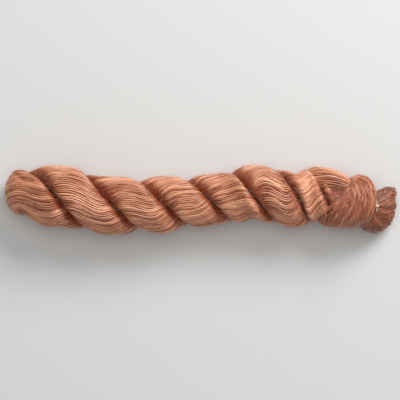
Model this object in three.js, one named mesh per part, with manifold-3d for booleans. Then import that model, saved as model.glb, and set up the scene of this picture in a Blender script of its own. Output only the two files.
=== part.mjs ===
// A twisted skein of mohair yarn, lying on a level surface. Millimetres, +Z up.
// The skein is a loop of yarn that is twisted, folded in two so that its halves ply round each other,
// and closed by drawing one end of the loop through the other. It lies along X: the fold is at -X, and
// at +X the loop wraps the neck of the other end, which fans out. The origin is on the surface, mid-length.
import * as THREE from 'three';
import { mergeVertices } from 'three/addons/utils/BufferGeometryUtils.js';
import Module from 'manifold-3d';

const wasm = await Module();
wasm.setup();

// Driving sizes
const FLATTEN = 0.9; // height over width of the plied rope, which sags under its own weight
const FOOT_DEPTH = 1.2; // how much of each lobe's underside is pressed flat on the surface
const ORBIT_SHARE = 0.33; // distance of a strand's widest chord from the rope's axis, over the crest
const BITE_SHARE = 0.04; // how far a strand presses past the rope's axis into the other, over the crest
const LAY = 1.56; // turns the yarn makes within its strand for each turn of the strand round the rope
const LAY_SWING = 0.4; // how much faster it turns at the rope's sides, and slower on its front and back
const FOLD_LAY = 0.3; // radians that the yarn turns within its strand on the way round the fold
const FOLD_REACH = 0.81; // length of the fold's cap over the crest there
const EYE = 0.3; // half the width of the eye in the fold
const RIDGE = 0.35; // height of the ridges that the grouped turns raise on a strand

// The plied rope, by its half turns. At turn 0 strand A is at +Y and strand B at -Y. crest is the reach of a
// strand from the rope's axis, width its half width across that, lift how far the rope hangs clear of the
// surface, and more how far strand A, where it is the fuller one, spreads past the axis into strand B.
const ROPE = [
  { turn: -0.58, x: -142.4, axisY: 7.0, crest: 18.4, width: 16.2, lift: 0, more: 0 },
  { turn: -0.37, x: -130.6, axisY: 3.0, crest: 22.6, width: 20.6, lift: 0, more: 0 },
  { turn: 0, x: -115.2, axisY: 2.8, crest: 24.4, width: 21.4, lift: 0, more: 0 },
  { turn: 0.45, x: -94.7, axisY: 0.9, crest: 23.6, width: 21.4, lift: 0, more: 0 },
  { turn: 0.65, x: -85.6, axisY: -3.2, crest: 23.0, width: 19.4, lift: 0, more: 0 },
  { turn: 1, x: -69.6, axisY: -4.4, crest: 23.0, width: 19.0, lift: 0, more: 0 },
  { turn: 1.5, x: -49.6, axisY: -3.8, crest: 22.4, width: 18.0, lift: 0, more: 0 },
  { turn: 2, x: -29.2, axisY: -3.5, crest: 22.4, width: 17.2, lift: 0, more: 0 },
  { turn: 2.5, x: -11.2, axisY: -1.8, crest: 21.2, width: 16.8, lift: 0, more: 0 },
  { turn: 3, x: 6.8, axisY: 0.2, crest: 20.2, width: 17.0, lift: 0, more: 0 },
  { turn: 3.38, x: 20.0, axisY: 1.2, crest: 20.4, width: 17.6, lift: 0, more: 1 },
  { turn: 3.66, x: 29.6, axisY: 4.8, crest: 21.0, width: 19.0, lift: 0, more: 3 },
  { turn: 4, x: 42.0, axisY: 6.6, crest: 21.4, width: 20.0, lift: 0, more: 4 },
  { turn: 4.27, x: 52.0, axisY: 6.4, crest: 21.2, width: 19.4, lift: 0, more: 4 },
  { turn: 4.5, x: 60.0, axisY: 3.0, crest: 21.6, width: 20.6, lift: 0, more: 4.5 },
  { turn: 4.75, x: 68.4, axisY: -0.6, crest: 21.0, width: 19.0, lift: 0, more: 4.5 },
  { turn: 5, x: 77.0, axisY: -0.2, crest: 21.6, width: 19.6, lift: 0, more: 4 },
  { turn: 5.5, x: 87.6, axisY: 3.2, crest: 20.6, width: 19.4, lift: 0, more: 1 },
  { turn: 6, x: 97.6, axisY: 4.8, crest: 19.4, width: 18.0, lift: 0, more: 0 },
  { turn: 6.4, x: 108.0, axisY: 3.4, crest: 16.4, width: 15.0, lift: 2, more: 0 },
  { turn: 6.7, x: 116.0, axisY: 3.0, crest: 15.4, width: 14.0, lift: 4, more: 0 },
  { turn: 7, x: 130.0, axisY: -2.0, crest: 10.0, width: 10.0, lift: 3, more: 0 },
];

// The part of strand A that lies over the others just before the wrap, and narrows into it like a leaf.
const LEAF = [
  { x: 78, y: 13.0, z: 14.0, radius: 4.0 },
  { x: 88, y: 17.4, z: 20.0, radius: 8.4 },
  { x: 97, y: 17.4, z: 24.5, radius: 8.8 },
  { x: 106, y: 16.0, z: 26.5, radius: 8.4 },
  { x: 114, y: 13.2, z: 26.4, radius: 7.0 },
  { x: 122, y: 9.0, z: 23.0, radius: 3.5 },
];

// The loop that wraps the neck, as a ring round an axis along X. One row for each eighth of the ring from
// +Y over the top: x is its middle, halfWidth its half width along X and reach its outside radius.
const WRAP_AXIS = { y: -1.2, z: 18 };
const WRAP_THICKNESS = 11;
const WRAP = [
  { angle: 0, x: 126.4, halfWidth: 10.0, reach: 21.2 },
  { angle: 45, x: 126.0, halfWidth: 13.0, reach: 20.8 },
  { angle: 90, x: 122.8, halfWidth: 15.6, reach: 19.4 },
  { angle: 135, x: 118.0, halfWidth: 18.8, reach: 20.6 },
  { angle: 180, x: 112.8, halfWidth: 18.6, reach: 21.4 },
  { angle: 225, x: 114.4, halfWidth: 16.0, reach: 20.4 },
  { angle: 270, x: 120.8, halfWidth: 12.8, reach: 18.4 },
  { angle: 315, x: 124.8, halfWidth: 9.6, reach: 19.4 },
];

// The neck of the other end, which comes through the wrap and fills it.
const NECK_PLUG = { x: 125, y: -1.2, z: 18, length: 24, width: 26, height: 27 };

// The fanned end droops and thins from the neck to its rim. Seen from above, each row of its outline gives the
// reach from its neck to its rim by the angle from +X towards +Y.
const FAN_NECK = { x: 132, y: -5.6 };
const FAN_DROOP = [
  { x: 124, middle: 17.5, halfThickness: 11.5 },
  { x: 132, middle: 15.0, halfThickness: 11.0 },
  { x: 140, middle: 11.6, halfThickness: 9.8 },
  { x: 148, middle: 9.2, halfThickness: 9.2 },
  { x: 158, middle: 8.2, halfThickness: 8.8 },
];
const FAN = [
  { angle: -180, reach: 8 },
  { angle: -140, reach: 9 },
  { angle: -108, reach: 15.5 },
  { angle: -86, reach: 19.6 },
  { angle: -64, reach: 22.8 },
  { angle: -38, reach: 24.8 },
  { angle: -12, reach: 25.2 },
  { angle: 14, reach: 26.0 },
  { angle: 34, reach: 28.2 },
  { angle: 50, reach: 17.5 },
  { angle: 66, reach: 11 },
  { angle: 110, reach: 8 },
];

// The tie round the fan's neck, and its knot on top.
const TIE_THREAD = 1.2;
const TIE_RING = { x: 137.0, y: -4.8, z: 12.2, halfWidth: 12.5, halfHeight: 9.6, tiltDegrees: 22 };
const TIE_KNOT = { length: 3.2, width: 2.6, height: 2.2 };
const TIE_CLEARANCE = 0.35;

// From the tables' origin to the part's, which is under the middle of the skein's extent.
const CENTRE = { x: 0.04, y: -0.34 };

// Mesh steps
const STRAND_POINTS = 24;
const ROPE_STEPS = 7; // sections for each row of the rope's table that is half a turn on
const FOLD_STEPS = 7;
const LEAF_STEPS = 12;
const LEAF_POINTS = 20;
const WRAP_STEPS = 32;
const WRAP_POINTS = 16;
const FAN_STEPS = 44;
const FAN_LEVELS = 10;

const YARN = new THREE.MeshStandardMaterial({ color: 0xc88a66, roughness: 0.75, metalness: 0 });
const THREAD = new THREE.MeshStandardMaterial({ color: 0xe6cfa8, roughness: 0.8, metalness: 0 });

// A smooth curve of one column of a table against another, with each row's slope taken from its neighbours.
// A table that closes on itself has a period.
function curve(rows, key, column, period = 0) {
  const table = rows.map((row) => [row[key], row[column]]);
  if (period) {
    const shifted = (row, turns) => [row[0] + turns * period, row[1]];
    table.unshift(...table.slice(-2).map((row) => shifted(row, -1)));
    table.push(...table.slice(2, 5).map((row) => shifted(row, 1)));
  }
  const slope = (i) => {
    const before = table[Math.max(i - 1, 0)];
    const after = table[Math.min(i + 1, table.length - 1)];
    return (after[1] - before[1]) / (after[0] - before[0]);
  };
  return (at) => {
    const next = table.findIndex((row, i) => i > 0 && (row[0] >= at || i === table.length - 1));
    const [x0, y0] = table[next - 1];
    const [x1, y1] = table[next];
    const t = (at - x0) / (x1 - x0);
    const run = x1 - x0;
    return (
      (1 + 2 * t) * (1 - t) ** 2 * y0 +
      t ** 2 * (3 - 2 * t) * y1 +
      t * (1 - t) ** 2 * run * slope(next - 1) -
      t ** 2 * (1 - t) * run * slope(next)
    );
  };
}

// A closed geometry through rings of points. Rings that don't join up end to end are capped.
function loft(rings, closed = false) {
  const size = rings[0].length;
  const points = rings.flat();
  const faces = [];
  const steps = closed ? rings.length : rings.length - 1;
  for (let i = 0; i < steps; i++) {
    const here = i * size;
    const there = ((i + 1) % rings.length) * size;
    for (let j = 0; j < size; j++) {
      const k = (j + 1) % size;
      faces.push(here + j, there + k, here + k, here + j, there + j, there + k);
    }
  }
  if (!closed) {
    for (const [ring, turned] of [[0, false], [rings.length - 1, true]]) {
      const middle = new THREE.Vector3();
      rings[ring].forEach((point) => middle.addScaledVector(point, 1 / size));
      points.push(middle);
      for (let j = 0; j < size; j++) {
        const edge = [ring * size + j, ring * size + ((j + 1) % size)];
        faces.push(points.length - 1, ...(turned ? edge.reverse() : edge));
      }
    }
  }
  const geometry = new THREE.BufferGeometry().setFromPoints(points);
  geometry.setIndex(faces);
  return geometry;
}

// A closed geometry as a manifold-3d solid, turned to face outwards.
function solid(geometry) {
  const bare = geometry.clone();
  bare.deleteAttribute('normal');
  bare.deleteAttribute('uv');
  const merged = mergeVertices(bare, 1e-4);
  const build = (triVerts) =>
    new wasm.Manifold(
      new wasm.Mesh({ numProp: 3, vertProperties: merged.attributes.position.array, triVerts }),
    );
  const made = build(new Uint32Array(merged.index.array));
  return made.volume() > 0 ? made : build(new Uint32Array(merged.index.array).reverse());
}

function geometryOf(manifold) {
  const mesh = manifold.getMesh();
  const geometry = new THREE.BufferGeometry();
  geometry.setAttribute('position', new THREE.BufferAttribute(mesh.vertProperties, 3));
  geometry.setIndex(new THREE.BufferAttribute(mesh.triVerts, 1));
  return geometry;
}

const ropeX = curve(ROPE, 'turn', 'x');
const axisY = curve(ROPE, 'turn', 'axisY');
const crest = curve(ROPE, 'turn', 'crest');
const width = curve(ROPE, 'turn', 'width');
const lift = curve(ROPE, 'turn', 'lift');
const more = curve(ROPE, 'turn', 'more');
const axisZ = (turn) => FLATTEN * crest(turn) - FOOT_DEPTH + lift(turn);
const FOLD = ROPE[0].turn;
const NECK = ROPE.at(-1).turn;

// How far the yarn has turned within its strand since the fold, in radians.
function lay(turn) {
  const swing = (at) => (LAY_SWING / 2) * Math.sin(2 * Math.PI * at);
  return LAY * Math.PI * (turn - FOLD) + swing(turn) - swing(FOLD);
}

// Where a turn of yarn lies in its strand's section: how far out from the rope's axis and how far across. The
// section is two half ellipses that meet on its widest chord, and its outer half is ridged.
function sectionPoint(yarn, ridge, turn, inner, shift = 0) {
  const orbit = ORBIT_SHARE * crest(turn) + shift;
  const outward = Math.cos(yarn);
  const raised = ridge * THREE.MathUtils.smoothstep(outward, -0.5, 0.2);
  const depth = outward > 0 ? crest(turn) - orbit : orbit - inner;
  return { out: orbit + (depth + raised) * outward, across: (width(turn) + raised) * Math.sin(yarn) };
}

// One strand's section. Its corners turn with the lay, so that they run along the yarn.
function strandRing(turn, side) {
  const outward = Math.PI * (side > 0 ? turn : turn + 1);
  const closed = THREE.MathUtils.smoothstep(turn - FOLD, 0, 0.15);
  const shift = -side * more(turn);
  const inner = THREE.MathUtils.lerp(EYE, -BITE_SHARE * crest(turn), closed) + shift;
  return Array.from({ length: STRAND_POINTS }, (_, j) => {
    const start = (2 * Math.PI * j) / STRAND_POINTS;
    const yarn = (side > 0 ? start : -start - FOLD_LAY) - lay(turn);
    const { out, across } = sectionPoint(yarn, j % 2 ? RIDGE : -RIDGE, turn, inner, shift);
    return new THREE.Vector3(
      ropeX(turn),
      axisY(turn) + out * Math.cos(outward) - across * Math.sin(outward),
      axisZ(turn) + FLATTEN * (out * Math.sin(outward) + across * Math.cos(outward)),
    );
  });
}

// The strand's section on its way round the fold, from strand A at 0 to strand B at 1.
function foldRing(share) {
  const round = Math.PI * share;
  const outward = Math.PI * FOLD;
  return Array.from({ length: STRAND_POINTS }, (_, j) => {
    const yarn = (2 * Math.PI * j) / STRAND_POINTS + FOLD_LAY * share;
    const { out, across } = sectionPoint(yarn, j % 2 ? RIDGE : -RIDGE, FOLD, EYE);
    const along = out * Math.cos(round);
    return new THREE.Vector3(
      ropeX(FOLD) - FOLD_REACH * out * Math.sin(round),
      axisY(FOLD) + along * Math.cos(outward) - across * Math.sin(outward),
      axisZ(FOLD) + FLATTEN * (along * Math.sin(outward) + across * Math.cos(outward)),
    );
  });
}

// Half of the folded bundle: one strand from the middle of the fold to the neck.
function strand(side) {
  const steps = Math.round((NECK - FOLD) * ROPE_STEPS);
  const fold = Array.from({ length: FOLD_STEPS + 1 }, (_, i) => foldRing(0.5 - (side * i) / (2 * FOLD_STEPS)));
  const rope = Array.from({ length: steps }, (_, i) => strandRing(FOLD + ((NECK - FOLD) * (i + 1)) / steps, side));
  const rings = [...fold, ...rope];
  return loft(side > 0 ? rings : rings.map((ring) => ring.reverse())); // so that faces are split along the yarn
}

// The leaf-shaped part of strand A before the wrap.
function leaf() {
  const y = curve(LEAF, 'x', 'y');
  const z = curve(LEAF, 'x', 'z');
  const radius = curve(LEAF, 'x', 'radius');
  const rings = Array.from({ length: LEAF_STEPS + 1 }, (_, i) => {
    const x = THREE.MathUtils.lerp(LEAF[0].x, LEAF.at(-1).x, i / LEAF_STEPS);
    return Array.from({ length: LEAF_POINTS }, (_, j) => {
      const round = (2 * Math.PI * j) / LEAF_POINTS;
      const out = radius(x) + (j % 2 ? RIDGE : -RIDGE);
      return new THREE.Vector3(x, y(x) + out * Math.cos(round), z(x) + out * Math.sin(round));
    });
  });
  return loft(rings);
}

// The end of the loop, which wraps round the neck as a band that is wide below and pinched on top.
function wrap() {
  const middle = curve(WRAP, 'angle', 'x', 360);
  const halfWidth = curve(WRAP, 'angle', 'halfWidth', 360);
  const reach = curve(WRAP, 'angle', 'reach', 360);
  const rings = Array.from({ length: WRAP_STEPS }, (_, i) => {
    const degrees = (360 * i) / WRAP_STEPS;
    const angle = THREE.MathUtils.degToRad(degrees);
    return Array.from({ length: WRAP_POINTS }, (_, j) => {
      const across = (2 * Math.PI * j) / WRAP_POINTS;
      const out = reach(degrees) + (WRAP_THICKNESS / 2) * (Math.sin(across) - 1);
      return new THREE.Vector3(
        middle(degrees) + halfWidth(degrees) * Math.cos(across),
        WRAP_AXIS.y + out * Math.cos(angle),
        WRAP_AXIS.z + out * Math.sin(angle),
      );
    });
  });
  return loft(rings, true);
}

// The fanned end: a round-rimmed body whose rim reaches out from the neck and droops as the tables say.
function fan() {
  const reach = curve(FAN, 'angle', 'reach', 360);
  const middle = curve(FAN_DROOP, 'x', 'middle');
  const halfThickness = curve(FAN_DROOP, 'x', 'halfThickness');
  const rings = Array.from({ length: FAN_LEVELS - 1 }, (_, i) => {
    const level = Math.PI * ((i + 1) / FAN_LEVELS - 0.5);
    const spread = Math.cos(level) ** 0.6;
    return Array.from({ length: FAN_STEPS }, (_, j) => {
      const degrees = (360 * j) / FAN_STEPS - 180;
      const angle = THREE.MathUtils.degToRad(degrees);
      const x = FAN_NECK.x + spread * reach(degrees) * Math.cos(angle);
      const y = FAN_NECK.y + spread * reach(degrees) * Math.sin(angle);
      return new THREE.Vector3(x, y, middle(x) + halfThickness(x) * Math.sin(level));
    });
  });
  return loft(rings);
}

// The neck inside the wrap.
function neck() {
  const plug = new THREE.SphereGeometry(0.5, 20, 12);
  plug.scale(NECK_PLUG.length, NECK_PLUG.width, NECK_PLUG.height);
  plug.translate(NECK_PLUG.x, NECK_PLUG.y, NECK_PLUG.z);
  return plug;
}

// The tie: a thread round the neck with a knot on top, grown on all sides by the clearance that is asked for.
function tie(grow) {
  const ring = new THREE.TorusGeometry(1, 0.5, 8, 28);
  const place = ring.attributes.position;
  const thread = TIE_THREAD / 2 + grow;
  for (let i = 0; i < place.count; i++) {
    const round = Math.atan2(place.getY(i), place.getX(i));
    const out = (Math.hypot(place.getX(i), place.getY(i)) - 1) / 0.5;
    const side = place.getZ(i) / 0.5;
    place.setXYZ(
      i,
      side * thread,
      (TIE_RING.halfWidth + out * thread) * Math.cos(round),
      (TIE_RING.halfHeight + out * thread) * Math.sin(round),
    );
  }
  const knot = new THREE.SphereGeometry(0.5, 12, 8);
  knot.scale(TIE_KNOT.length + 2 * grow, TIE_KNOT.width + 2 * grow, TIE_KNOT.height + 2 * grow);
  knot.translate(0, 0, TIE_RING.halfHeight + TIE_KNOT.height / 4);
  return [ring, knot]
    .map((geometry) => {
      geometry.rotateY(THREE.MathUtils.degToRad(TIE_RING.tiltDegrees));
      geometry.translate(TIE_RING.x, TIE_RING.y, TIE_RING.z);
      return solid(geometry);
    })
    .reduce((whole, piece) => whole.add(piece));
}

// Everything below the surface, to press the undersides flat.
function ground() {
  const depth = 40;
  const box = new THREE.BoxGeometry(600, 200, depth);
  box.translate(0, 0, -depth / 2);
  return solid(box);
}

// The outermost shell of the joined pieces, so that hollows shut in between them are filled.
function filled(manifold) {
  return manifold.decompose().reduce((most, body) => (body.volume() > most.volume() ? body : most));
}

const hankSolid = filled(
  solid(strand(1))
    .add(solid(strand(-1)))
    .add(solid(leaf()))
    .add(solid(wrap()))
    .add(solid(neck()))
    .add(solid(fan()))
    .subtract(ground())
    .subtract(tie(TIE_CLEARANCE)),
);

const hank = new THREE.Mesh(geometryOf(hankSolid), YARN);
hank.name = 'hank';

const knottedTie = new THREE.Mesh(geometryOf(tie(0)), THREAD);
knottedTie.name = 'tie';

const skein = new THREE.Group();
skein.add(hank, knottedTie);
skein.position.set(CENTRE.x, CENTRE.y, 0);

export default skein;
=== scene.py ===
# A twisted skein of mohair yarn on a pale floor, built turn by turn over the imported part.
# Blender's units are metres. The tables are in millimetres, in the frame that the tables of the part's source
# have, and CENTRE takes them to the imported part's frame.
import math

import bpy
import numpy as np
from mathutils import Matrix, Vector


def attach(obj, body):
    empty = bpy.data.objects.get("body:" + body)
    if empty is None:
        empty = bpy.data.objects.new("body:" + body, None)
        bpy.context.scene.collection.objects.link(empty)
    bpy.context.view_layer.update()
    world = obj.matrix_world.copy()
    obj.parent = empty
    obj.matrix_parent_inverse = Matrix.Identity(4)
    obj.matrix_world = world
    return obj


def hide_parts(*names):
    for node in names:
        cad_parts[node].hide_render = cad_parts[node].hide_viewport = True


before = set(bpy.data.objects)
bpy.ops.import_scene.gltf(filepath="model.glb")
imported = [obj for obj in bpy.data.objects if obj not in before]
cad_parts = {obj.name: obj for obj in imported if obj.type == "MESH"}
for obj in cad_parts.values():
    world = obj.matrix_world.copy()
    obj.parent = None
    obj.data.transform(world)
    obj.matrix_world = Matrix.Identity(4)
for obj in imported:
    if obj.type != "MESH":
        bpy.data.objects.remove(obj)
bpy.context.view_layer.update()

MM = 0.001

# The plied rope, as in the part's source
FLATTEN = 0.9
FOOT_DEPTH = 1.2
ORBIT_SHARE = 0.33
BITE_SHARE = 0.04
FOLD_REACH = 0.81
EYE = 0.3
EYE_CLOSES = 0.15  # half turns from the fold to where the strands touch
CENTRE = (0.04, -0.34, 0.0)

# How the yarn turns within a strand, in radians: along a half turn of the rope, its swing, and round the fold
LAY = 1.42 * math.pi
LAY_SWING = 0.2
FOLD_LAY = 0.3

EASE = 0.15  # half turns over which the rope's table is eased
TYPICAL_CREST = 21.6
TYPICAL_WIDTH = 19.0


def rows(columns, *values):
    """A table as a dictionary from column name to array."""
    return dict(zip(columns.split(), np.array(values, float).T))


ROPE = rows(
    "turn x axis_y crest width lift more",
    (-0.58, -142.4, 7.0, 18.4, 16.2, 0, 0),
    (-0.37, -130.6, 3.0, 22.6, 20.6, 0, 0),
    (0, -115.2, 2.8, 24.4, 21.4, 0, 0),
    (0.45, -94.7, 0.9, 23.6, 21.4, 0, 0),
    (0.65, -85.6, -3.2, 23.0, 19.4, 0, 0),
    (1, -69.6, -4.4, 23.0, 19.0, 0, 0),
    (1.5, -49.6, -3.8, 22.4, 18.0, 0, 0),
    (2, -29.2, -3.5, 22.4, 17.2, 0, 0),
    (2.5, -11.2, -1.8, 21.2, 16.8, 0, 0),
    (3, 6.8, 0.2, 20.2, 17.0, 0, 0),
    (3.38, 20.0, 1.2, 20.4, 17.6, 0, 1),
    (3.66, 29.6, 4.8, 21.0, 19.0, 0, 3),
    (4, 42.0, 6.6, 21.4, 20.0, 0, 4),
    (4.27, 52.0, 6.4, 21.2, 19.4, 0, 4),
    (4.5, 60.0, 3.0, 21.6, 20.6, 0, 4.5),
    (4.75, 68.4, -0.6, 21.0, 19.0, 0, 4.5),
    (5, 77.0, -0.2, 21.6, 19.6, 0, 4),
    (5.5, 87.6, 3.2, 20.6, 19.4, 0, 1),
    (6, 97.6, 4.8, 19.4, 18.0, 0, 0),
    (6.4, 108.0, 3.4, 16.4, 15.0, 2, 0),
    (6.7, 116.0, 3.0, 15.4, 14.0, 4, 0),
    (7, 130.0, -2.0, 10.0, 10.0, 3, 0),
)
FOLD = ROPE["turn"][0]
NECK = ROPE["turn"][-1]

# How much further than LAY the yarn has turned within its strand, in radians
LAY_MORE = rows(
    "turn more",
    (1, 0),
    (2, 0.3),
    (3, 1.1),
    (4, 1.6),
    (5, 1.7),
    (6, 2.8),
    (7, 2.8),
)

# The part of strand A that lies over the others before the wrap, like a leaf
LEAF = rows(
    "x y z radius",
    (78, 13.0, 14.0, 4.0),
    (88, 17.4, 20.0, 8.4),
    (97, 17.4, 24.5, 8.8),
    (106, 16.0, 26.5, 8.4),
    (114, 13.2, 26.4, 7.0),
    (122, 9.0, 23.0, 3.5),
)
LEAF_LAY = 0.012  # radians in a millimetre

# The loop that wraps the neck, by the angle round its axis from +Y over the top: its middle and half width
# along the skein, and the reach of its outside from its axis
WRAP_AXIS = {"y": -1.2, "z": 18.0}
WRAP = rows(
    "angle x half_width reach",
    (0, 126.4, 10.0, 21.2),
    (45, 126.0, 13.0, 20.8),
    (90, 122.8, 15.6, 19.4),
    (135, 118.0, 18.8, 20.6),
    (180, 112.8, 18.6, 21.4),
    (225, 114.4, 16.0, 20.4),
    (270, 120.8, 12.8, 18.4),
    (315, 124.8, 9.6, 19.4),
)
# The course of its left, middle and right turns, from the pinch on top over the front and back underneath
WRAP_COURSE = rows(
    "place left_angle left_x middle_angle middle_x right_angle right_x",
    (0, 45, 118.4, 45, 119.2, 43, 119.8),
    (1, 58, 115.8, 50, 121.2, 12, 122.5),
    (2, 70, 113.2, 58, 122.8, 2, 128.0),
    (3, 84, 109.6, 74, 124.4, 20, 134.4),
    (4, 98, 106.0, 88, 124.4, 50, 138.0),
    (5, 110, 102.2, 100, 124.0, 76, 138.6),
    (6, 122, 99.6, 115, 121.6, 98, 138.2),
    (7, 137, 98.0, 135, 118.0, 120, 136.8),
    (8, 160, 96.0, 158, 115.0, 150, 133.0),
    (9, 190, 95.0, 190, 113.6, 187, 130.0),
    (10, 225, 98.6, 225, 114.4, 225, 130.0),
    (11, 270, 108.4, 270, 120.8, 270, 133.0),
    (12, 315, 114.0, 315, 121.8, 315, 131.0),
    (13, 345, 115.4, 345, 120.0, 345, 125.6),
    (14, 380, 117.4, 380, 118.6, 380, 119.8),
)
WRAP_CURL = 5.5  # how far the band's edges curl in
WRAP_BEYOND = 0.04  # of the band's width, for the turns that are tucked under each edge
WRAP_TUCK = 30.0  # how far in they are tucked, for each width beyond the edge
WRAP_SPREAD = 3  # places over which the turns come apart at each end
WRAP_DIP = {"depth": 3.5, "places": 0.5}  # how the ends sink into the pinch
WRAP_LEAN = 1.2  # how far the band's surface faces aside at its edges

# The neck inside the wrap, and the fanned end
NECK_PLUG = {"x": 125.0, "y": -1.2, "z": 18.0, "length": 24.0, "width": 26.0, "height": 27.0}
NECK_LEVEL = 78  # degrees up to which the turns run towards its ends
FAN_NECK = {"x": 132.0, "y": -5.6}
FAN_DROOP = rows(
    "x middle half_thickness",
    (124, 17.5, 11.5),
    (132, 15.0, 11.0),
    (140, 11.6, 9.8),
    (148, 9.2, 9.2),
    (158, 8.2, 8.8),
)
FAN = rows(
    "angle reach",
    (-180, 8.0),
    (-140, 9.0),
    (-108, 15.5),
    (-86, 19.6),
    (-64, 22.8),
    (-38, 24.8),
    (-12, 25.2),
    (14, 26.0),
    (34, 28.2),
    (50, 17.5),
    (66, 11.0),
    (110, 8.0),
)
FAN_LEVEL = 80  # degrees up to which the turns run over its top and underside
FAN_ROUNDING = 0.6  # less than 1 makes the rim fuller than an ellipse
FAN_EVENING = 3.0  # added to the reach where the turns are shared out by it

# The tie
TIE_THREAD = 1.2
TIE_RING = {
    "x": 137.0,
    "y": -4.8,
    "z": 12.2,
    "half_width": 12.5,
    "half_height": 9.6,
    "tilt": math.radians(22),
}
TIE_PLY = {"radius": 0.3 * TIE_THREAD, "apart": TIE_THREAD / 4, "twists": 34, "sides": 6}
TIE_ROUGHLY = {"half_width": 12, "half_height": 10}  # how the plies' distance is shared out round the ring
TIE_KNOT = {"length": 3.2, "width": 2.6, "height": 2.2}
KNOT_THREAD = {"radius": 0.42 * TIE_THREAD, "sides": 8}
KNOT_SHARE = {"across": 0.36, "height": 0.26}  # leaves room for the thread within the knot's size

# Creases where the turns part, seen from above
CREASES = (
    {"line": [(-145.6, 19.0), (-140.4, 16.2), (-134.0, 15.0)], "width": 1.7, "depth": 1.3},
    {"line": [(-153.4, 1.8), (-150.4, 0.4)], "width": 1.6, "depth": 1.1},
    {"line": [(44.0, 8.4), (51.0, 9.6), (59.2, 9.0), (67.0, 6.4)], "width": 1.8, "depth": 0.9},
)
CREASE_PARTING = 0.5  # of the distance from the crease

# Yarn
YARN_RADIUS = 0.72
YARN_THICKEST = 0.88  # the radius of a turn at its thickest
YARN_UNEVEN = {"share": 0.09, "length": 14}  # how the radius varies, and over what length
YARN_SIDES = 7
YARN_STEP = 1.4  # along the strands and the leaf
YARN_STAGGER = 37.0  # between the starts of neighbouring turns' ply and fibres
STRAND_TURNS = 56
STRAND_PIECES = 3
STRAND_SLACK = 1.12  # a strand's length for its length along the rope
FOLD_RADIUS = 16.0  # typical of the turns round the fold, for their number of steps
LEAF_TURNS = 27
WRAP_TURNS = 30
WRAP_STEP = 1.5
FAN_TURNS = 104
FAN_STEP = 1.2
NECK_TURNS = 44
STEPS = {"leaf": 34, "wrap": 118, "fan": 64, "neck": 26, "ring": 97, "knot": 121}
SHOWN_FROM = -1.2  # a turn is built where it is at least this far out from the rope's axis
INSIDE_DEPTH = 1.4  # how far the dark inside lies below the surface
INSIDE_FLOOR = 1.2
INSIDE_BANDS = 175.0  # makes the inner turns about 1.8 mm wide
JOINT_REACH = 5.0  # steps on each side of where the fold begins or ends
JOINT_PASSES = 24

# Seeds of the turns' courses and the hairs, and of each piece's thickness and tone
SEEDS = {"strands": 3, "leaf": 17, "wrap": 11, "fan": 5, "hairs": 7}
PIECE_SEEDS = {
    "hank_turns_1": 1,
    "hank_turns_2": 2,
    "hank_turns_3": 3,
    "hank_leaf": 24,
    "hank_wrap": 21,
    "hank_fan": 22,
    "hank_neck": 23,
}

# How the turns stray. Aside is in radians round a strand or the leaf, in widths of the wrap, and in degrees
# round the fan. Raised is in millimetres. The shared waves have a size, a length, a count and how many fit
# round the bundle at most, and each turn's own wobble has a size and a length.
STRAY = {
    "strand_aside": {"shared": ((0.008, 14, 8, 3), (0.020, 70, 8, 7)), "own": (0.009, 24)},
    "strand_raised": {"shared": ((0.16, 45, 7, 9),), "own": (0.14, 26)},
    "leaf_aside": {"shared": ((0.03, 50, 6, 4),), "own": (0.012, 20)},
    "leaf_raised": {"shared": ((0.2, 40, 6, 6),)},
    "wrap_aside": {"shared": ((0.006, 60, 6, 3),), "own": (0.005, 40)},
    "wrap_raised": {"shared": ((0.16, 45, 7, 6),), "own": (0.16, 24)},
    "fan_aside": {"shared": ((1.1, 30, 8, 12),), "own": (0.8, 25)},
    "fan_raised": {"own": (0.16, 20)},
}
WAVE_LENGTHS = (0.7, 1.5)
OWN_LENGTHS = (0.6, 1.6)
OWN_WAVES = 3
STRAND_UNEVEN = 0.12  # how unevenly deep whole turns lie, here and in the fan
FAN_UNEVEN = 0.28
PARTED = {"waves": (70, 9, 9), "from": 1.1, "depth": 0.4}  # where a few turns of a strand sink together

# Tone, where 0 is the deep colour of a turn and 1 the light one
TONE = {"middle": 0.5, "turns": 0.25, "own": 0.12, "length": 30}
# Painted shade, which deepens the colour down in the grooves, within GROOVE_REACH of the rope's axis
GROOVE_PAINTED_SHADE = 0.9
GROOVE_REACH = 14.0  # out from the rope's axis
# Painted shade, which deepens the colour of the strands where the leaf and the wrap cover them
COVERED_PAINTED_SHADE = 0.9
COVERED_TURNS = (6.1, 6.35)  # half turns of the rope over which the cover begins
# Painted shade, which deepens the colour of the whole wrap
WRAP_PAINTED_SHADE = 0.45
KNOT_TONE = 0.6

# Hairs
HAIRS = 18000
HAIR_PIECES = 3
HAIR_SIDES = 3
HAIR_STEPS = 4
HAIR_RADIUS = 0.045
HAIR_TAPER = 0.75
HAIR_LENGTH = {"shape": 3.0, "scale": 1.5, "least": 1.5, "most": 11}
HAIR_RISE = (0.12, 0.85)  # how steeply it leaves the turn, at least and at most
HAIR_ASIDE = 0.9  # how far it leans off the turn's own direction
HAIR_BEND = {"down": 0.5, "share": 0.45}  # how far it tends back down, and its bend for its length
HAIR_ROOT = {"depth": 0.8, "spin": 1.2}  # radii from the turn's middle, and radians round the turn
HAIR_FLOOR = 0.15
FAN_HAIR_TURNS = 4  # one in so many turns of the fan has hairs

# Colours
FLOOR_COLOUR = (0.72, 0.725, 0.725, 1)
WORLD_COLOUR = (0.98, 0.97, 0.95, 1)
# The yarn's colour runs from deep to light with its tone, which holds random differences and the painted
# shade of the grooves, the covered part and the wrap
MOHAIR_LIGHT, MOHAIR_DEEP = (0.85, 0.40, 0.22, 1), (0.33, 0.058, 0.010, 1)
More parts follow.
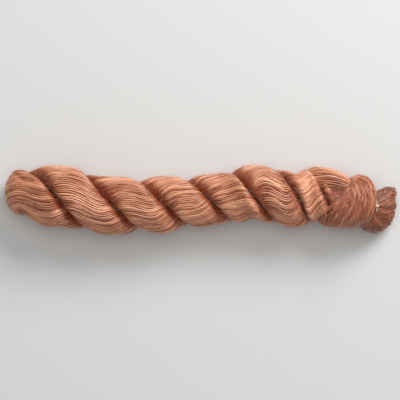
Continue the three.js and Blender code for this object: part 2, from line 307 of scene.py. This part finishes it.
# The fanned end and the neck are the same mohair painted darker, as painted shade
SHADED_END_LIGHT, SHADED_END_DEEP = (0.33, 0.078, 0.018, 1), (0.13, 0.019, 0.002, 1)
THREAD_LIGHT, THREAD_DEEP = (0.9, 0.8, 0.62, 1), (0.72, 0.58, 0.4, 1)
# The turns inside are real, but their dark colours are painted shade
SHADED_INSIDE_LIGHT, SHADED_INSIDE_DEEP = (0.46, 0.100, 0.034, 1), (0.16, 0.024, 0.005, 1)
HAIR_LIGHT, HAIR_DEEP = (0.92, 0.70, 0.56, 1), (0.62, 0.27, 0.15, 1)

# Yarn's colour: noise in patches and along the fibres, and plies that twist, each by its share. The plies'
# colour is painted shade, deeper where they meet.
PATCHES = {"Scale": 55.0, "Detail": 3.0}
FIBRES = {"Scale": 1.0, "Detail": 3.0}
FIBRE_STRETCH = (0.35, 7.0, 1.0)  # along a turn, round it, and unused
PLY_TWIST = {"along": 0.21, "around": 2.0}
SHARE = {"patches": 0.9, "fibres": 0.6, "plies": 0.16}
MIDDLE = {"noise": 0.73, "plies": 0.6}
FIBRE_HEIGHT = 0.7
YARN_BUMP = {"Strength": 0.4, "Distance": 0.00025}
YARN_SHADER = {
    "Roughness": 0.42,
    "IOR": 1.6,
    "Specular IOR Level": 0.85,
    "Specular Tint": (1.0, 0.92, 0.85, 1),
    "Sheen Roughness": 0.4,
    "Sheen Tint": (1.0, 0.64, 0.46, 1),
}
SHEEN = {"mohair": 0.45, "mohair_end_shaded": 0.1, "thread": 0.2}

# The turns inside: bands of about the yarn's width, with noise, in colours of painted shade that are deepest
# between the bands
INSIDE_WAVE = {"Scale": INSIDE_BANDS, "Distortion": 2.5, "Detail": 2.0, "Detail Scale": 1.5}
INSIDE_NOISE = {"Scale": 420.0, "Detail": 3.0}
INSIDE_SHARE = {"wave": 0.8, "noise": 0.3}
INSIDE_BUMP = {"Strength": 0.9, "Distance": 0.0008}

# The floor and the lights, in metres and watts
FLOOR_HALF = 3.0
WINDOW = {"place": (0.85, 1.20, 0.95), "size": (1.0, 0.7), "power": 28, "colour": (1.0, 0.99, 0.975)}
FILL = {"place": (-0.1, 0.3, 1.8), "size": (1.4, 1.4), "power": 7.5, "colour": (1.0, 0.99, 0.97)}
WORLD_STRENGTH = 0.37

# The photograph's frame
CAMERA_LENS = 150.0
SENSOR = 36.0
FRAME_WIDTH = 320.0  # of the field at the skein's middle height
FRAME_MIDDLE = (-0.8, 0.0)
FRAME_LEVEL = 20.0


def curve(table, key, column, period=None):
    """A smooth function of one column against another, with each row's slope taken from its neighbours."""
    x, y = table[key], table[column]
    if period:
        x = np.concatenate([x[-2:] - period, x, x[:3] + period])
        y = np.concatenate([y[-2:], y, y[:3]])
    before = np.maximum(np.arange(len(x)) - 1, 0)
    after = np.minimum(np.arange(len(x)) + 1, len(x) - 1)
    slope = (y[after] - y[before]) / (x[after] - x[before])

    def at(value):
        value = np.asarray(value, float)
        i = np.clip(np.searchsorted(x, value), 1, len(x) - 1)
        run = x[i] - x[i - 1]
        t = (value - x[i - 1]) / run
        return (
            (1 + 2 * t) * (1 - t) ** 2 * y[i - 1]
            + t**2 * (3 - 2 * t) * y[i]
            + t * (1 - t) ** 2 * run * slope[i - 1]
            - t**2 * (1 - t) * run * slope[i]
        )

    return at


def smoothstep(value, low, high):
    t = np.clip((value - low) / (high - low), 0, 1)
    return t * t * (3 - 2 * t)


def unit(vectors):
    return vectors / np.maximum(np.linalg.norm(vectors, axis=-1, keepdims=True), 1e-9)


def xyz(x, y, z):
    """Points from their coordinates, which may have different shapes."""
    return np.stack(np.broadcast_arrays(x, y, z), axis=-1)


# Camera, floor and light


def add_to_scene(name, data):
    made = bpy.data.objects.new(name, data)
    bpy.context.scene.collection.objects.link(made)
    return made


def make_camera():
    data = bpy.data.cameras.new("camera")
    data.lens = CAMERA_LENS
    data.sensor_width = SENSOR
    data.clip_end = 20
    camera = add_to_scene("camera", data)
    distance = FRAME_WIDTH * CAMERA_LENS / SENSOR + FRAME_LEVEL
    camera.location = (
        (FRAME_MIDDLE[0] + CENTRE[0]) * MM,
        (FRAME_MIDDLE[1] + CENTRE[1]) * MM,
        distance * MM,
    )
    bpy.context.scene.camera = camera


def make_floor():
    half = FLOOR_HALF
    mesh = bpy.data.meshes.new("floor")
    corners = [(-half, -half, 0), (half, -half, 0), (half, half, 0), (-half, half, 0)]
    mesh.from_pydata(corners, [], [(0, 1, 2, 3)])
    floor = add_to_scene("floor", mesh)
    material = new_material("floor_paint")
    shader = material.node_tree.nodes["Principled BSDF"]
    shader.inputs["Base Color"].default_value = FLOOR_COLOUR
    shader.inputs["Roughness"].default_value = 0.85
    mesh.materials.append(material)


def area_light(name, place, size, power, colour):
    """A rectangular light that faces the skein."""
    data = bpy.data.lights.new(name, "AREA")
    data.shape = "RECTANGLE"
    data.size, data.size_y = size
    data.energy = power
    data.color = colour
    light = add_to_scene(name, data)
    light.location = place
    light.rotation_mode = "QUATERNION"
    light.rotation_quaternion = (-Vector(place)).to_track_quat("-Z", "Y")


def make_light():
    area_light("window", **WINDOW)
    area_light("fill", **FILL)
    world = bpy.data.worlds.new("world")
    world.use_nodes = True
    world.node_tree.nodes["Background"].inputs["Color"].default_value = WORLD_COLOUR
    world.node_tree.nodes["Background"].inputs["Strength"].default_value = WORLD_STRENGTH
    bpy.context.scene.world = world
    bpy.context.scene.view_settings.view_transform = "Standard"


# Materials


def new_material(name):
    material = bpy.data.materials.new(name)
    material.use_nodes = True
    return material


class Nodes:
    """Short calls for one material's nodes."""

    def __init__(self, name):
        self.material = new_material(name)
        self.tree = self.material.node_tree
        self.shader = self.tree.nodes["Principled BSDF"]

    def add(self, kind, links=(), **values):
        node = self.tree.nodes.new(kind)
        for key, value in values.items():
            setattr(node, key, value)
        for socket, source in dict(links).items():
            if isinstance(source, bpy.types.NodeSocket):
                self.tree.links.new(source, node.inputs[socket])
            else:
                node.inputs[socket].default_value = source
        return node

    def maths(self, operation, a, b=0.0):
        return self.add("ShaderNodeMath", {0: a, 1: b}, operation=operation).outputs[0]

    def mix(self, factor, a, b):
        """A mix of two colours, which are the node's inputs 6 and 7 and its output 2."""
        node = self.add("ShaderNodeMix", {0: factor, 6: a, 7: b}, data_type="RGBA")
        return node.outputs[2]

    def noise(self, vector, values):
        return self.add("ShaderNodeTexNoise", {"Vector": vector, **values}).outputs["Fac"]

    def bump(self, height, values):
        self.link(self.add("ShaderNodeBump", {"Height": height, **values}).outputs[0], "Normal")

    def link(self, output, socket):
        self.tree.links.new(output, self.shader.inputs[socket])

    def set(self, values):
        for socket, value in values.items():
            self.shader.inputs[socket].default_value = value


def yarn_material(name, light, deep):
    """Spun yarn: each turn has its own tone, which also carries painted shade, with plies that twist along it
    and streaks of fibre.
    """
    n = Nodes(name)
    uv = n.add("ShaderNodeUVMap", uv_map="yarn").outputs[0]
    apart = n.add("ShaderNodeSeparateXYZ", {0: uv})
    along, around = apart.outputs[0], apart.outputs[1]
    tone = n.add("ShaderNodeAttribute", attribute_name="tone").outputs["Fac"]
    place = n.add("ShaderNodeTexCoord").outputs["Object"]
    patches = n.noise(place, PATCHES)
    stretched = n.add("ShaderNodeMapping", {"Vector": uv, "Scale": FIBRE_STRETCH}).outputs[0]
    fibres = n.noise(stretched, FIBRES)
    twist = n.maths("MULTIPLY", along, PLY_TWIST["along"])
    twist = n.maths("ADD", twist, n.maths("MULTIPLY", around, PLY_TWIST["around"]))
    plies = n.maths("ABSOLUTE", n.maths("SINE", n.maths("MULTIPLY", twist, math.pi)))
    shade = n.maths("MULTIPLY", patches, SHARE["patches"])
    shade = n.maths("ADD", shade, n.maths("MULTIPLY", fibres, SHARE["fibres"]))
    shade = n.maths("ADD", n.maths("SUBTRACT", shade, MIDDLE["noise"]), tone)
    # Painted shade: the plies' colour deepens where they meet
    ply_shade = n.maths("MULTIPLY", n.maths("SUBTRACT", plies, MIDDLE["plies"]), SHARE["plies"])
    n.link(n.mix(n.maths("ADD", shade, ply_shade), deep, light), "Base Color")
    n.bump(n.maths("ADD", plies, n.maths("MULTIPLY", fibres, FIBRE_HEIGHT)), YARN_BUMP)
    n.set(YARN_SHADER)
    n.set({"Sheen Weight": SHEEN[name]})
    return n.material


def inside_material():
    """The turns that lie deeper in the bundle, seen only in the gaps, in the dark colours of painted shade.
    """
    n = Nodes("mohair_inside_shaded")
    place = n.add("ShaderNodeTexCoord").outputs["Object"]
    wave = n.add("ShaderNodeTexWave", {"Vector": place, **INSIDE_WAVE}).outputs["Fac"]
    height = n.maths("MULTIPLY", n.noise(place, INSIDE_NOISE), INSIDE_SHARE["noise"])
    height = n.maths("ADD", n.maths("MULTIPLY", wave, INSIDE_SHARE["wave"]), height)
    n.link(n.mix(height, SHADED_INSIDE_DEEP, SHADED_INSIDE_LIGHT), "Base Color")
    n.bump(height, INSIDE_BUMP)
    n.set({"Roughness": 0.85})
    return n.material


def hair_material():
    n = Nodes("mohair_hair")
    tone = n.add("ShaderNodeAttribute", attribute_name="tone").outputs["Fac"]
    n.link(n.mix(tone, HAIR_DEEP, HAIR_LIGHT), "Base Color")
    n.set({"Roughness": 0.5})
    return n.material


# Meshes


def piece(name, points, faces, material, node, uvs=None, tone=None):
    """A mesh of the skein, in millimetres in the tables' frame, that stands for a CAD node."""
    mesh = bpy.data.meshes.new(name)
    mesh.from_pydata(((np.asarray(points) + CENTRE) * MM).tolist(), [], np.asarray(faces).tolist())
    if uvs is not None:
        layer = mesh.uv_layers.new(name="yarn")
        layer.data.foreach_set("uv", np.asarray(uvs, np.float32).ravel())
    if tone is not None:
        values = mesh.attributes.new("tone", "FLOAT", "POINT")
        values.data.foreach_set("value", np.asarray(tone, np.float32).ravel())
    mesh.shade_smooth()
    mesh.materials.append(material)
    made = add_to_scene(name, mesh)
    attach(made, "root")
    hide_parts(node)


def tubes(paths, normals, radius, sides, shown=None):
    """Round tubes along equally long paths: points, quads, corner UVs and each point's place in the paths.
    UVs run in millimetres along a tube and from 0 to 1 round it. shown marks the path points to keep."""
    count, length = paths.shape[:2]
    tangent = unit(np.gradient(paths, axis=1))
    across = unit(np.cross(tangent, normals))
    up = np.cross(across, tangent)
    angle = 2 * np.pi * np.arange(sides) / sides
    ring = np.cos(angle)[:, None] * up[:, :, None] + np.sin(angle)[:, None] * across[:, :, None]
    radius = np.broadcast_to(radius, (count, length))[..., None, None]
    points = (paths[:, :, None] + radius * ring).reshape(-1, 3)
    steps = np.linalg.norm(np.diff(paths, axis=1), axis=2)
    along = np.concatenate([np.zeros((count, 1)), np.cumsum(steps, axis=1)], axis=1)
    along = along + YARN_STAGGER * np.arange(count)[:, None]
    index = np.arange(count * length * sides).reshape(count, length, sides)
    turned = np.roll(index, -1, axis=2)
    quads = np.stack([index[:, :-1], turned[:, :-1], turned[:, 1:], index[:, 1:]], axis=-1)
    v0 = np.broadcast_to(np.arange(sides) / sides, (count, length - 1, sides))
    v1 = v0 + 1 / sides
    u0 = np.broadcast_to(along[:, :-1, None], v0.shape)
    u1 = np.broadcast_to(along[:, 1:, None], v0.shape)
    uvs = np.stack([np.stack(pair, axis=-1) for pair in ((u0, v0), (u0, v1), (u1, v1), (u1, v0))], axis=-2)
    if shown is None:
        kept = np.ones((count, length - 1), bool)
    else:
        kept = shown[:, :-1] | shown[:, 1:]
    quads, uvs = quads[kept].reshape(-1, 4), uvs[kept].reshape(-1, 4, 2)
    used, quads = np.unique(quads, return_inverse=True)
    return points[used], quads.reshape(-1, 4), uvs, used // sides


# How the turns stray


def places_along(count, steps, step):
    """The length along each of so many turns at each of its steps."""
    return step * np.arange(steps)[None] + np.zeros((count, 1))


def round_the_bundle(count):
    """Even places for so many turns round a bundle, in radians, as a column."""
    return (2 * np.pi * np.arange(count) / count)[:, None]


def waves(label, along, scale, count, finest, rng):
    """A smooth field over turns, which close on themselves after 2 pi of label, and the length along them."""
    total = np.zeros(np.broadcast(label, along).shape)
    for _ in range(count):
        across = rng.integers(-finest, finest + 1)
        length = scale * rng.uniform(*WAVE_LENGTHS)
        total = total + np.sin(across * label + 2 * np.pi * along / length + rng.uniform(0, 2 * np.pi))
    return total / math.sqrt(count / 2)


def own_waves(along, scale, rng):
    """A smooth wobble that each turn has for itself."""
    total = np.zeros(along.shape)
    for _ in range(OWN_WAVES):
        length = scale * rng.uniform(*OWN_LENGTHS, (len(along), 1))
        total = total + np.sin(2 * np.pi * along / length + rng.uniform(0, 2 * np.pi, (len(along), 1)))
    return total / math.sqrt(OWN_WAVES / 2)


def stray(kind, label, along, rng):
    """How far turns stray, as a row of STRAY says."""
    total = 0
    for size, scale, count, finest in STRAY[kind].get("shared", ()):
        total = total + size * waves(label, along, scale, count, finest, rng)
    if "own" in STRAY[kind]:
        size, scale = STRAY[kind]["own"]
        total = total + size * own_waves(along, scale, rng)
    return total


# The plied strands


def rope(column, ease=EASE):
    """A column of the rope's table by its half turns, eased so that the yarn doesn't bend at the rows."""
    exact = curve(ROPE, "turn", column)
    steps = ((-1, 0.25), (0, 0.5), (1, 0.25))
    return lambda turn: sum(exact(turn + ease * step) * share for step, share in steps)


rope_x = rope("x")
axis_y = rope("axis_y")
crest = rope("crest")
width = rope("width")
lift = rope("lift")
more = rope("more", 2 * EASE)
lay_more = curve(LAY_MORE, "turn", "more")


def axis_z(turn):
    return FLATTEN * crest(turn) - FOOT_DEPTH + lift(turn)


def lay(turn):
    """How far the yarn has turned within its strand since the fold, in radians."""

    def swing(at):
        return LAY_SWING / 2 * np.sin(2 * np.pi * at)

    further = lay_more(np.maximum(turn, LAY_MORE["turn"][0]))
    return LAY * (turn - FOLD) + swing(turn) - swing(FOLD) + further


def evened(place):
    """The angle in a strand's section at a place round it, where even places are evenly spaced."""
    angle = np.linspace(-np.pi, np.pi, 721)  # in half degrees
    reach = TYPICAL_CREST * (1 - ORBIT_SHARE), TYPICAL_CREST * (ORBIT_SHARE + BITE_SHARE)
    out = np.where(np.cos(angle) > 0, *reach) * np.cos(angle)
    along = np.cumsum(np.hypot(np.diff(out), TYPICAL_WIDTH * np.diff(np.sin(angle))))
    middle = along[len(along) // 2]
    share = 2 * np.pi * (np.concatenate([[0], along]) - middle) / along[-1]
    turns = np.round(place / (2 * np.pi))
    return np.interp(place - 2 * np.pi * turns, share, angle) + 2 * np.pi * turns


def section(yarn, turn, inner, raised, shift=0.0):
    """A yarn's place in its strand's section, as distances out from the rope's axis and across, and the
    direction that faces outwards there."""
    yarn = evened(yarn)
    orbit = ORBIT_SHARE * crest(turn) + shift
    depth = np.where(np.cos(yarn) > 0, crest(turn) - orbit, orbit - inner)
    half = width(turn)
    facing = unit(np.stack([np.cos(yarn) / depth, np.sin(yarn) / half], axis=-1))
    out = orbit + depth * np.cos(yarn) + raised * facing[..., 0]
    across = half * np.sin(yarn) + raised * facing[..., 1]
    return out, across, facing


def strand_points(turn, yarn, side, raised):
    """Points, normals and distances from the rope's axis, for yarns of strand A, side 1, or B, side -1."""
    outward = np.pi * (turn if side > 0 else turn + 1)
    closed = smoothstep(turn - FOLD, 0, EYE_CLOSES)
    shift = -side * more(turn)
    inner = EYE * (1 - closed) - BITE_SHARE * crest(turn) * closed + shift
    out, across, facing = section(yarn, turn, inner, raised, shift)
    cos, sin = np.cos(outward), np.sin(outward)
    points = xyz(
        rope_x(turn),
        axis_y(turn) + out * cos - across * sin,
        axis_z(turn) + FLATTEN * (out * sin + across * cos),
    )
    normals = xyz(
        0,
        facing[..., 0] * cos - facing[..., 1] * sin,
        facing[..., 0] * sin + facing[..., 1] * cos,
    )
    return points, normals, out


def fold_points(share, yarn, raised):
    """The same for the yarns round the fold, from strand A at share 0 to strand B at 1."""
    turned = np.pi * share
    outward = np.pi * FOLD
    out, across, facing = section(yarn, FOLD, EYE, raised)

    def placed(o, a):
        return xyz(
            -FOLD_REACH * o * np.sin(turned),
            o * np.cos(turned) * np.cos(outward) - a * np.sin(outward),
            FLATTEN * (o * np.cos(turned) * np.sin(outward) + a * np.cos(outward)),
        )

    middle = np.array([rope_x(FOLD), axis_y(FOLD), axis_z(FOLD)])
    return placed(out, across) + middle, unit(placed(facing[..., 0], facing[..., 1])), out


def part_turns(paths, normals):
    """Sinks the turns along the creases, and pushes them apart there."""
    for crease in CREASES:
        line = np.array(crease["line"], float)
        nearest = np.full(paths.shape[:2], np.inf)
        away = np.zeros(paths.shape[:2] + (2,))
        for start, end in zip(line[:-1], line[1:]):
            run = end - start
            share = np.clip(((paths[..., :2] - start) @ run) / (run @ run), 0, 1)
            offset = paths[..., :2] - start - share[..., None] * run
            distance = np.linalg.norm(offset, axis=-1)
            closer = distance < nearest
            nearest = np.where(closer, distance, nearest)
            away = np.where(closer[..., None], offset, away)
        near = np.exp(-((nearest / crease["width"]) ** 2)) * (normals[..., 2] > 0)
        paths = paths - crease["depth"] * near[..., None] * normals
        paths[..., :2] += CREASE_PARTING * near[..., None] * away
    return paths


def ease_joints(paths, joints):
    """Rounds off the bends that the turns have where the fold begins and ends."""
    index = np.arange(paths.shape[1])
    near = sum(np.exp(-(((index - joint) / JOINT_REACH) ** 2)) for joint in joints)[None, :, None]
    for _ in range(JOINT_PASSES):
        mean = (paths[:, :-2] + 2 * paths[:, 1:-1] + paths[:, 2:]) / 4
        paths[:, 1:-1] += near[:, 1:-1] * (mean - paths[:, 1:-1])
    return paths


def strand_shade(out, turn):
    """How much deeper the colour is painted, as painted shade: down in the grooves and in the part that the
    leaf and the wrap cover."""
    groove = 1 - smoothstep(out, 0, GROOVE_REACH)
    return -GROOVE_PAINTED_SHADE * groove - COVERED_PAINTED_SHADE * smoothstep(turn, *COVERED_TURNS)


def strand_turns():
    """The turns of the hank from the neck along strand A, round the fold and back along strand B: their paths
    and normals, which points are shown and how much painted shade deepens their colour."""
    straight = int((rope_x(NECK) - rope_x(FOLD)) * STRAND_SLACK / YARN_STEP)
    bend = int(np.pi * FOLD_RADIUS / YARN_STEP)
    turns_a = np.linspace(NECK, FOLD, straight)[:-1]
    turns_b = np.linspace(FOLD, NECK, straight)[1:]
    shares = np.linspace(0, 1, bend)
    label = round_the_bundle(STRAND_TURNS)
    along = places_along(STRAND_TURNS, 2 * (straight - 1) + bend, YARN_STEP)
    rng = np.random.default_rng(SEEDS["strands"])
    aside = stray("strand_aside", label, along, rng)
    raised = -YARN_RADIUS + stray("strand_raised", label, along, rng)
    raised = raised + STRAND_UNEVEN * rng.standard_normal((STRAND_TURNS, 1))
    parted = np.maximum(waves(label, along, *PARTED["waves"], rng) - PARTED["from"], 0)
    raised = raised - PARTED["depth"] * parted
    yarn = label + aside
    first, last = len(turns_a), len(turns_a) + len(shares)
    a = strand_points(turns_a, yarn[:, :first] - lay(turns_a), 1, raised[:, :first])
    bent = fold_points(shares, yarn[:, first:last] + FOLD_LAY * shares, raised[:, first:last])
    b = strand_points(turns_b, -yarn[:, last:] - FOLD_LAY - lay(turns_b), -1, raised[:, last:])
    paths, normals, out = (np.concatenate(parts, axis=1) for parts in zip(a, bent, b))
    paths = part_turns(ease_joints(paths, (first, last)), normals)
    turns = np.concatenate([turns_a, FOLD + 0 * shares, turns_b])
    return paths, normals, out > SHOWN_FROM, strand_shade(out, turns)


def leaf_turns():
    x = np.linspace(LEAF["x"][0], LEAF["x"][-1], STEPS["leaf"])
    label = round_the_bundle(LEAF_TURNS)
    along = places_along(LEAF_TURNS, len(x), YARN_STEP)
    rng = np.random.default_rng(SEEDS["leaf"])
    yarn = label + stray("leaf_aside", label, along, rng) - LEAF_LAY * (x - x[0])
    out = curve(LEAF, "x", "radius")(x) - YARN_RADIUS + stray("leaf_raised", label, along, rng)
    normals = xyz(0, np.cos(yarn), np.sin(yarn))
    middle = xyz(x, curve(LEAF, "x", "y")(x), curve(LEAF, "x", "z")(x))
    return middle + out[..., None] * normals, normals


# The wrap


def wrap_turns():
    share = np.linspace(-WRAP_BEYOND, 1 + WRAP_BEYOND, WRAP_TURNS)[:, None]
    places = np.linspace(0, WRAP_COURSE["place"][-1], STEPS["wrap"])
    along = places_along(WRAP_TURNS, len(places), WRAP_STEP)
    label = 2 * np.pi * share
    rng = np.random.default_rng(SEEDS["wrap"])
    from_end = np.minimum(places, places[-1] - places)
    share = share + smoothstep(from_end, 0, WRAP_SPREAD) * stray("wrap_aside", label, along, rng)
    inside = np.clip(share, 0, 1)
    # the parabola through the left, middle and right turns
    weights = ((1 - inside) * (1 - 2 * inside), 4 * inside * (1 - inside), inside * (2 * inside - 1))

    def course(column):
        curves = [curve(WRAP_COURSE, "place", f"{side}_{column}") for side in ("left", "middle", "right")]
        return sum(weight * at(places) for weight, at in zip(weights, curves))

    def band(column):
        return curve(WRAP, "angle", column, 360)(degrees % 360)

    degrees, x = course("angle"), course("x")
    aside = np.clip((x - band("x")) / band("half_width"), -1, 1)
    curl = WRAP_CURL * (1 - np.sqrt(1 - aside**2)) + WRAP_TUCK * np.abs(share - inside)
    dip = WRAP_DIP["depth"] * np.exp(-((from_end / WRAP_DIP["places"]) ** 2))
    out = band("reach") - curl - dip - YARN_RADIUS + stray("wrap_raised", label, along, rng)
    angle = np.radians(degrees)
    paths = xyz(x, WRAP_AXIS["y"] + out * np.cos(angle), WRAP_AXIS["z"] + out * np.sin(angle))
    return paths, unit(xyz(WRAP_LEAN * aside, np.cos(angle), np.sin(angle)))


# The fanned end and its neck


def fan_turns():
    reach = curve(FAN, "angle", "reach", 360)
    middle = curve(FAN_DROOP, "x", "middle")
    half = curve(FAN_DROOP, "x", "half_thickness")
    rng = np.random.default_rng(SEEDS["fan"])
    degrees = np.linspace(-180, 180, FAN_TURNS, endpoint=False)
    # more turns where the rim is far out
    share = np.cumsum(reach(degrees) + FAN_EVENING)
    degrees = np.interp(np.linspace(share[0], share[-1], FAN_TURNS), share, degrees)[:, None]
    level = np.radians(np.linspace(FAN_LEVEL, -FAN_LEVEL, STEPS["fan"]))
    along = places_along(FAN_TURNS, len(level), FAN_STEP)
    degrees = degrees + stray("fan_aside", np.radians(degrees), along, rng)
    angle = np.radians(degrees)
    raised = -YARN_RADIUS + FAN_UNEVEN * rng.standard_normal((FAN_TURNS, 1))
    raised = raised + stray("fan_raised", None, along, rng)
    out = np.cos(level) ** FAN_ROUNDING * (reach((degrees + 180) % 360 - 180) + raised)
    x = FAN_NECK["x"] + out * np.cos(angle)
    y = FAN_NECK["y"] + out * np.sin(angle)
    z = middle(x) + (half(x) + raised) * np.sin(level)
    normals = xyz(np.cos(angle) * np.cos(level), np.sin(angle) * np.cos(level), np.sin(level))
    return xyz(x, y, z), unit(normals)


def neck_turns():
    angle = round_the_bundle(NECK_TURNS)
    level = np.radians(np.linspace(-NECK_LEVEL, NECK_LEVEL, STEPS["neck"]))
    normals = xyz(np.sin(level), np.cos(level) * np.cos(angle), np.cos(level) * np.sin(angle))
    middle = np.array([NECK_PLUG["x"], NECK_PLUG["y"], NECK_PLUG["z"]])
    size = np.array([NECK_PLUG["length"], NECK_PLUG["width"], NECK_PLUG["height"]])
    return middle + (size / 2 - YARN_RADIUS) * normals, unit(normals)


# Pieces of yarn


def on_floor(paths):
    """Keeps turns from sinking into the surface, even where they are thickest. It changes the paths given."""
    paths[..., 2] = np.maximum(paths[..., 2], YARN_THICKEST)
    return paths


def yarn_piece(name, paths, normals, material, shown=None, shade=0.0):
    rng = np.random.default_rng(PIECE_SEEDS[name])
    along = places_along(*paths.shape[:2], YARN_STEP)
    radius = YARN_RADIUS * (1 + YARN_UNEVEN["share"] * own_waves(along, YARN_UNEVEN["length"], rng))
    points, quads, uvs, at = tubes(on_floor(paths), normals, radius, YARN_SIDES, shown)
    # shade is painted shade, which deepens the turns' tone
    tone = TONE["middle"] + shade + TONE["turns"] * rng.standard_normal((len(along), 1))
    tone = tone + TONE["own"] * own_waves(along, TONE["length"], rng)
    piece(name, points, quads, material, "hank", uvs, tone.ravel()[at])


def make_inside(material):
    """A copy of the solid hank, drawn in below the turns, dark with painted shade."""
    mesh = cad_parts["hank"].data
    points = np.zeros(len(mesh.vertices) * 3)
    mesh.vertices.foreach_get("co", points)
    facing = np.zeros(len(mesh.vertices) * 3)
    mesh.vertex_normals.foreach_get("vector", facing)
    points = points.reshape(-1, 3) - INSIDE_DEPTH * MM * facing.reshape(-1, 3)
    points[:, 2] = np.maximum(points[:, 2], INSIDE_FLOOR * MM)
    faces = [tuple(face.vertices) for face in mesh.polygons]
    piece("hank_inside", points / MM - CENTRE, faces, material, "hank")


def make_yarn():
    """The turns of the hank. Returns the paths, normals and shown points that hairs grow from."""
    mohair = yarn_material("mohair", MOHAIR_LIGHT, MOHAIR_DEEP)
    # Painted shade: the fanned end and the neck take a darker copy of the mohair
    mohair_end_shaded = yarn_material("mohair_end_shaded", SHADED_END_LIGHT, SHADED_END_DEEP)
    paths, normals, shown, shade = strand_turns()
    strands = on_floor(paths), normals, shown
    for part, some in enumerate(np.array_split(np.arange(STRAND_TURNS), STRAND_PIECES), 1):
        yarn_piece(f"hank_turns_{part}", paths[some], normals[some], mohair, shown[some], shade[some])
    leaf, wrap, fan = leaf_turns(), wrap_turns(), fan_turns()
    yarn_piece("hank_leaf", *leaf, mohair)
    # The wrap's colour is deepened by painted shade
    yarn_piece("hank_wrap", *wrap, mohair, shade=-WRAP_PAINTED_SHADE)
    yarn_piece("hank_fan", *fan, mohair_end_shaded)
    yarn_piece("hank_neck", *neck_turns(), mohair_end_shaded)
    sparse_fan = [values[::FAN_HAIR_TURNS] for values in fan]
    return [strands] + [(*turns, np.ones(turns[0].shape[:2], bool)) for turns in (leaf, wrap, sparse_fan)]


# Hairs


def hair_roots(groups, count, rng):
    """Random points on the shown turns, spread evenly over their length."""
    points = np.concatenate([paths[shown] for paths, normals, shown in groups])
    facing = np.concatenate([normals[shown] for paths, normals, shown in groups])
    tangents = np.concatenate([unit(np.gradient(paths, axis=1))[shown] for paths, normals, shown in groups])
    pick = rng.choice(len(points), count, replace=False)
    facing, tangents = facing[pick], tangents[pick]
    spin = rng.uniform(-HAIR_ROOT["spin"], HAIR_ROOT["spin"], (count, 1))
    facing = unit(np.cos(spin) * facing + np.sin(spin) * np.cross(tangents, facing))
    return points[pick] + YARN_RADIUS * HAIR_ROOT["depth"] * facing, facing, tangents


def make_hairs(name, roots, facing, tangents, material, rng):
    """Fine hairs that stand off the yarn and curl over it."""
    count = len(roots)
    length = rng.gamma(HAIR_LENGTH["shape"], HAIR_LENGTH["scale"], (count, 1))
    length = length.clip(HAIR_LENGTH["least"], HAIR_LENGTH["most"])
    side = np.cross(tangents, facing)
    rise = rng.uniform(*HAIR_RISE, (count, 1))
    way = rng.choice([-1.0, 1.0], (count, 1))
    start = unit(tangents * way + HAIR_ASIDE * rng.standard_normal((count, 1)) * side)
    start = unit(start + rise * facing)
    bend = unit(rng.standard_normal((count, 3)) - HAIR_BEND["down"] * facing)
    t = np.linspace(0, 1, HAIR_STEPS + 1)[None, :, None]
    curl = HAIR_BEND["share"] * t**2 * bend[:, None]
    paths = roots[:, None] + length[:, None] * (t * start[:, None] + curl)
    paths[..., 2] = np.maximum(paths[..., 2], HAIR_FLOOR)
    radius = HAIR_RADIUS * (1 - HAIR_TAPER * t[..., 0])
    normals = np.repeat(facing[:, None], HAIR_STEPS + 1, axis=1)
    points, quads, uvs, at = tubes(paths, normals, radius, HAIR_SIDES)
    tone = rng.uniform(0, 1, (count, 1)) + 0 * t[..., 0]
    piece(name, points, quads, material, "hank", uvs, tone.ravel()[at])


def make_halo(groups):
    """The hairs of the whole hank, on the turns of these groups."""
    material = hair_material()
    rng = np.random.default_rng(SEEDS["hairs"])
    for part in range(1, HAIR_PIECES + 1):
        roots = hair_roots(groups, HAIRS // HAIR_PIECES, rng)
        make_hairs(f"hank_hairs_{part}", *roots, material, rng)


# The tie


def on_ring(x, y, z):
    """Points of the tie, given from its ring's centre before it is tilted."""
    tilt = TIE_RING["tilt"]
    tilted = xyz(x * np.cos(tilt) + z * np.sin(tilt), y, z * np.cos(tilt) - x * np.sin(tilt))
    return tilted + [TIE_RING["x"], TIE_RING["y"], TIE_RING["z"]]


def thread_piece(name, paths, normals, size, tone, material):
    points, quads, uvs, at = tubes(paths, normals, size["radius"], size["sides"])
    piece(name, points, quads, material, "tie", uvs, tone + 0 * at)


def make_tie():
    """Two plied threads round the neck, and an overhand knot on top."""
    thread = yarn_material("thread", THREAD_LIGHT, THREAD_DEEP)
    turned = np.linspace(0, 2 * np.pi, STEPS["ring"])
    twist = TIE_PLY["twists"] * turned + np.array([[0], [np.pi]])
    half_width, half_height = TIE_RING["half_width"], TIE_RING["half_height"]
    grown = TIE_PLY["apart"] * np.sin(twist)
    paths = on_ring(
        TIE_PLY["apart"] * np.cos(twist),
        half_width * np.cos(turned) * (1 + grown / TIE_ROUGHLY["half_width"]),
        half_height * np.sin(turned) * (1 + grown / TIE_ROUGHLY["half_height"]),
    )
    normals = unit(paths - on_ring(0, 0, 0))
    thread_piece("tie_thread", paths, normals, TIE_PLY, TONE["middle"], thread)

    t = np.linspace(0, 2 * np.pi, STEPS["knot"])[None]
    knot = xyz(
        (np.sin(t) + 2 * np.sin(2 * t)) / 3 * TIE_KNOT["length"] * KNOT_SHARE["across"],
        (np.cos(t) - 2 * np.cos(2 * t)) / 3 * TIE_KNOT["width"] * KNOT_SHARE["across"],
        -np.sin(3 * t) * TIE_KNOT["height"] * KNOT_SHARE["height"],
    )
    top = on_ring(0, 0, half_height + TIE_KNOT["height"] / 4)
    thread_piece("tie_knot", knot + top, unit(knot + [0, 0, 0.01]), KNOT_THREAD, KNOT_TONE, thread)


make_camera()
make_floor()
make_light()
make_inside(inside_material())
hairy_turns = make_yarn()
make_tie()
make_halo(hairy_turns)
